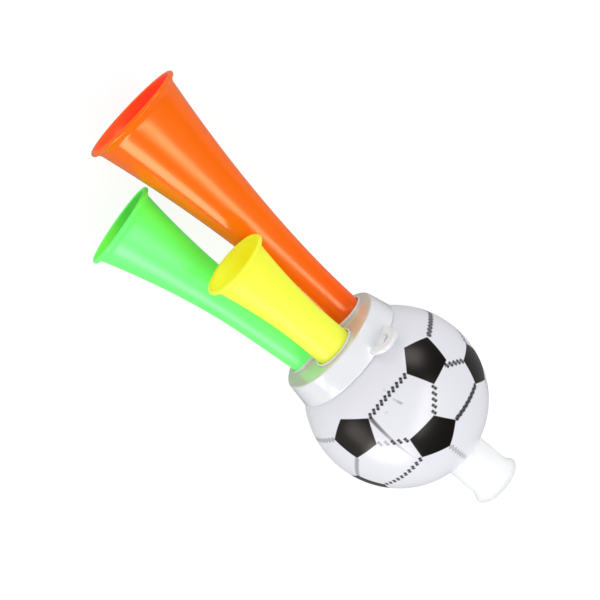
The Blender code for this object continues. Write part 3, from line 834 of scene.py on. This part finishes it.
# The face's painted shade, between the heights above.
cap_face_shade = cap_height.fades(CAP_FACE - FACE_SKIN, CAP_FACE - FACE_BELOW)
cap_face_shade = cap_face_shade * cap_height.fades(CAP_FACE + FACE_SKIN, CAP_FACE + FACE_ABOVE)
cap_white = cap_grain.mixed((0.81, 0.82, 0.85, 1.0), (0.87, 0.88, 0.91, 1.0))
feed(
    cap_shader,
    Base_Color=cap_face_shade.mixed(cap_white, (*FACE_SHADE, 1.0)),
    Roughness=0.18 + cap_grain * 0.08,
    Normal=cap_bump,
    Coat_Weight=1.0,
    Coat_Roughness=0.10,
    Coat_IOR=1.6,
    IOR=1.5,
)


def corner(radius, height, rounding, start, end):
    """Points of a round corner about its own centre, between two angles in degrees."""
    turns = [start + (end - start) * i / ROUNDING_STEPS for i in range(ROUNDING_STEPS + 1)]
    angles = [math.radians(turn) for turn in turns]
    return [(radius + rounding * math.cos(a), height + rounding * math.sin(a)) for a in angles]


def cap_edge(radius):
    """Height of the cap's back edge, a fit's gap off the ball."""
    across = BALL_RADIUS + FIT_GAP
    return (BALL_HALF_LENGTH + FIT_GAP) * math.sqrt(1 - (radius / across) ** 2)


taper = math.degrees(
    math.atan((CAP_BACK_RADIUS - CAP_FRONT_RADIUS) / (CAP_FACE - cap_edge(CAP_BACK_RADIUS)))
)
flat_radius = CAP_FRONT_RADIUS - CAP_ROUNDING
back_centre = CAP_BACK_RADIUS - CAP_BACK_ROUNDING
skirt_outline = [
    (flat_radius - CAP_STRIP, CAP_FACE),
    *corner(flat_radius, CAP_FACE - CAP_ROUNDING, CAP_ROUNDING, 90, taper),
    *corner(back_centre, cap_edge(back_centre) + CAP_BACK_ROUNDING, CAP_BACK_ROUNDING, taper, -90),
    (CAP_INNER_RADIUS, cap_edge(CAP_INNER_RADIUS)),
    (CAP_INNER_RADIUS, NECK_TOP + FIT_GAP),
    (NECK_INNER, NECK_TOP + FIT_GAP),
    (NECK_INNER, CAP_FACE - CAP_PLATE),
]
moulding = spun(skirt_outline, BALL_STEPS)


def loop_at(edges, height):
    """The open edges that lie in a plane across the horn's axis."""
    return [
        e
        for e in edges
        if e.is_boundary and all(abs(v.co.z - height) < PLANE_TOLERANCE for v in e.verts)
    ]


holes = {}
for height in (CAP_FACE, CAP_FACE - CAP_PLATE):
    rim = loop_at(moulding.edges, height)
    for name in TRUMPETS:
        socket = horn_place.inverted() @ socket_place(name)
        lip = socket.translation
        lean = socket.to_3x3() @ Vector((0, 0, 1))
        middle = lip + lean * ((height - lip.z) / lean.z)
        azimuth = math.atan2(lip.y, lip.x)
        stretch = Matrix.Diagonal((1 / lean.z, 1, 1, 1))
        made = bmesh.ops.create_circle(
            moulding,
            segments=SOCKET_STEPS,
            radius=(SOCKET_BORE + SOCKET_RADIUS) / 2,
            matrix=Matrix.Translation(middle) @ Matrix.Rotation(azimuth, 4, "Z") @ stretch,
        )
        ring = list({e for v in made["verts"] for e in v.link_edges})
        holes.setdefault(name, []).extend(ring)
        rim += ring
    bmesh.ops.triangle_fill(moulding, edges=rim, use_beauty=True)
for ring in holes.values():
    bmesh.ops.bridge_loops(moulding, edges=ring)
bmesh.ops.recalc_face_normals(moulding, faces=moulding.faces)

lip_centre = SOCKET_RADIUS - SOCKET_LIP_ROUNDING
sleeve_outline = [
    (SOCKET_BORE, -SOCKET_STOP),
    *corner(SOCKET_BORE + SOCKET_LIP_ROUNDING, -SOCKET_LIP_ROUNDING, SOCKET_LIP_ROUNDING, 180, 90),
    *corner(lip_centre, -SOCKET_LIP_ROUNDING, SOCKET_LIP_ROUNDING, 90, 0),
    (SOCKET_RADIUS, -SOCKET_STOP - SOCKET_FLOOR),
    (SOCKET_FLOOR_HOLE, -SOCKET_STOP - SOCKET_FLOOR),
    (SOCKET_FLOOR_HOLE, -SOCKET_STOP),
    (SOCKET_BORE, -SOCKET_STOP),
]


def add_shape(shape, extra, place):
    """Adds a second closed bmesh to a shape, at a place in its axes."""
    extra.transform(place)
    mesh = bpy.data.meshes.new("extra")
    extra.to_mesh(mesh)
    extra.free()
    shape.from_mesh(mesh)
    bpy.data.meshes.remove(mesh)


for name in TRUMPETS:
    sleeve = spun(sleeve_outline, SOCKET_STEPS)
    add_shape(moulding, sleeve, horn_place.inverted() @ socket_place(name))

half = EAR_THICKNESS / 2 - EAR_ROUNDING
ear_section = [
    *corner(EAR_RADIUS - EAR_ROUNDING, half, EAR_ROUNDING, 90, 0),
    *corner(EAR_RADIUS - EAR_ROUNDING, -half, EAR_ROUNDING, 0, -90),
    *corner(EAR_HOLE + EAR_ROUNDING, -half, EAR_ROUNDING, -90, -180),
    *corner(EAR_HOLE + EAR_ROUNDING, half, EAR_ROUNDING, 180, 90),
]
ear = bmesh.new()
ear_face = ear.faces.new([ear.verts.new((radius, 0, height)) for radius, height in ear_section])
ear.transform(Matrix.Rotation(-EAR_REACH, 4, "Z"))
bmesh.ops.spin(
    ear,
    geom=[ear_face, *ear.edges, *ear.verts],
    cent=(0, 0, 0),
    axis=(0, 0, 1),
    angle=2 * EAR_REACH,
    steps=EAR_STEPS,
)
bmesh.ops.recalc_face_normals(ear, faces=ear.faces)
ear_place = (
    Matrix.Rotation(EAR_AZIMUTH, 4, "Z")
    @ Matrix.Translation((CAP_BACK_RADIUS, 0, cap_edge(CAP_BACK_RADIUS) + EAR_RISE))
    @ Matrix.Rotation(EAR_LEAN, 4, "Y")
    @ Matrix.Translation((EAR_STAND_OFF, 0, 0))
)
add_shape(moulding, ear, ear_place)
finished(
    "cap_moulding", moulding, horn_place, "air_chamber", cap_finish, ["cap"]
)

# Mouthpiece
# A short tube through which the horn is blown, moulded in milky translucent plastic. Its lip is
# turned out, and its spigot is pushed into the ball's collar for good.
MOUTH_WALL = 0.0013
MOUTH_LENGTH = 0.0232
MOUTH_LIP_REACH = 0.0020
MOUTH_LIP_LENGTH = 0.0060
SPIGOT_RADIUS = 0.0087
LIP_STEPS = 12
RIM_SHADE_BAND = (0.0006, 0.0022)  # from the end, between which the painted shade on its rim runs out
shoulder = mouth_seat - FIT_GAP
mouth_end = shoulder - MOUTH_LENGTH

milk_finish, milk_shader = new_material("mouthpiece_milk")
milk_here = rest_place()
milk_cloud = noise(milk_here, 60.0, 3.0)
# The grey at the tube's silhouette and on its rim is painted shade.
milk_edge = Value.node("ShaderNodeLayerWeight", out=1, Blend=0.42)
milk_height = milk_here.dot(horn_axis) - ball_centre.dot(horn_axis)
milk_rim_shade = milk_height.fades(*(mouth_end + reach for reach in RIM_SHADE_BAND))
milk_shade = milk_edge.at_least(milk_rim_shade)
milk_pale = milk_cloud.mixed((0.93, 0.94, 0.96, 1.0), (0.98, 0.985, 1.0, 1.0))
feed(
    milk_shader,
    Base_Color=milk_shade.mixed(milk_pale, (0.78, 0.79, 0.80, 1.0)),
    Roughness=0.20 + milk_cloud * 0.06,
    Alpha=(milk_edge * 0.5 + 0.42 + milk_cloud * 0.12).at_most(1.0),
    # A faint painted glow keeps the milky plastic white.
    Emission_Color=milk_pale,
    Emission_Strength=0.10,
    IOR=1.45,
)
mouth_outer = []
mouth_inner = []
for i in range(LIP_STEPS + 1):
    share = i / LIP_STEPS
    reach = MOUTH_LIP_REACH * share**2
    height = mouth_end + MOUTH_LIP_LENGTH * (1 - share)
    mouth_outer.append((MOUTH_RADIUS + reach, height))
    mouth_inner.append((MOUTH_RADIUS - MOUTH_WALL + reach, height))
mouth_outline = [
    (SPIGOT_RADIUS, mouth_seat + COLLAR_LENGTH),
    (SPIGOT_RADIUS, shoulder),
    (MOUTH_RADIUS, shoulder),
    *mouth_outer,
    *mouth_inner[::-1],
    (MOUTH_RADIUS - MOUTH_WALL, shoulder - MOUTH_WALL),
    (SPIGOT_RADIUS - MOUTH_WALL, shoulder),
    (SPIGOT_RADIUS - MOUTH_WALL, mouth_seat + COLLAR_LENGTH),
    (SPIGOT_RADIUS, mouth_seat + COLLAR_LENGTH),
]
finished(
    "mouth_tube",
    spun(mouth_outline),
    horn_place,
    "air_chamber",
    milk_finish,
    ["mouthpiece"],
)

# Reeds
# Plugs, beds and wedges are matt white mouldings, and each tongue is a strip of clear film. They
# stand in the trumpets' ends, inside the ball, and keep their solids from the frame.
reed_finish, reed_shader = new_material("reed_white")
reed_grain = noise(rest_place(), 400.0, 2.0)
feed(
    reed_shader,
    Base_Color=reed_grain.mixed((0.80, 0.80, 0.77, 1.0), (0.88, 0.88, 0.85, 1.0)),
    Roughness=0.38 + reed_grain * 0.15,
)
film_finish, film_shader = new_material("tongue_film")
film_grain = noise(rest_place(), 300.0, 2.0)
feed(
    film_shader,
    Base_Color=film_grain.mixed((0.72, 0.78, 0.84, 1.0), (0.80, 0.85, 0.90, 1.0)),
    Roughness=0.15 + film_grain * 0.1,
    Alpha=0.6 + film_grain * 0.2,
)
for name in TRUMPETS:
    for part in ("holder", "bed", "wedge", "tongue"):
        node = frame["nodes"][f"{name}_reed_{part}"]
        node.data.materials.clear()
        node.data.materials.append(film_finish if part == "tongue" else reed_finish)
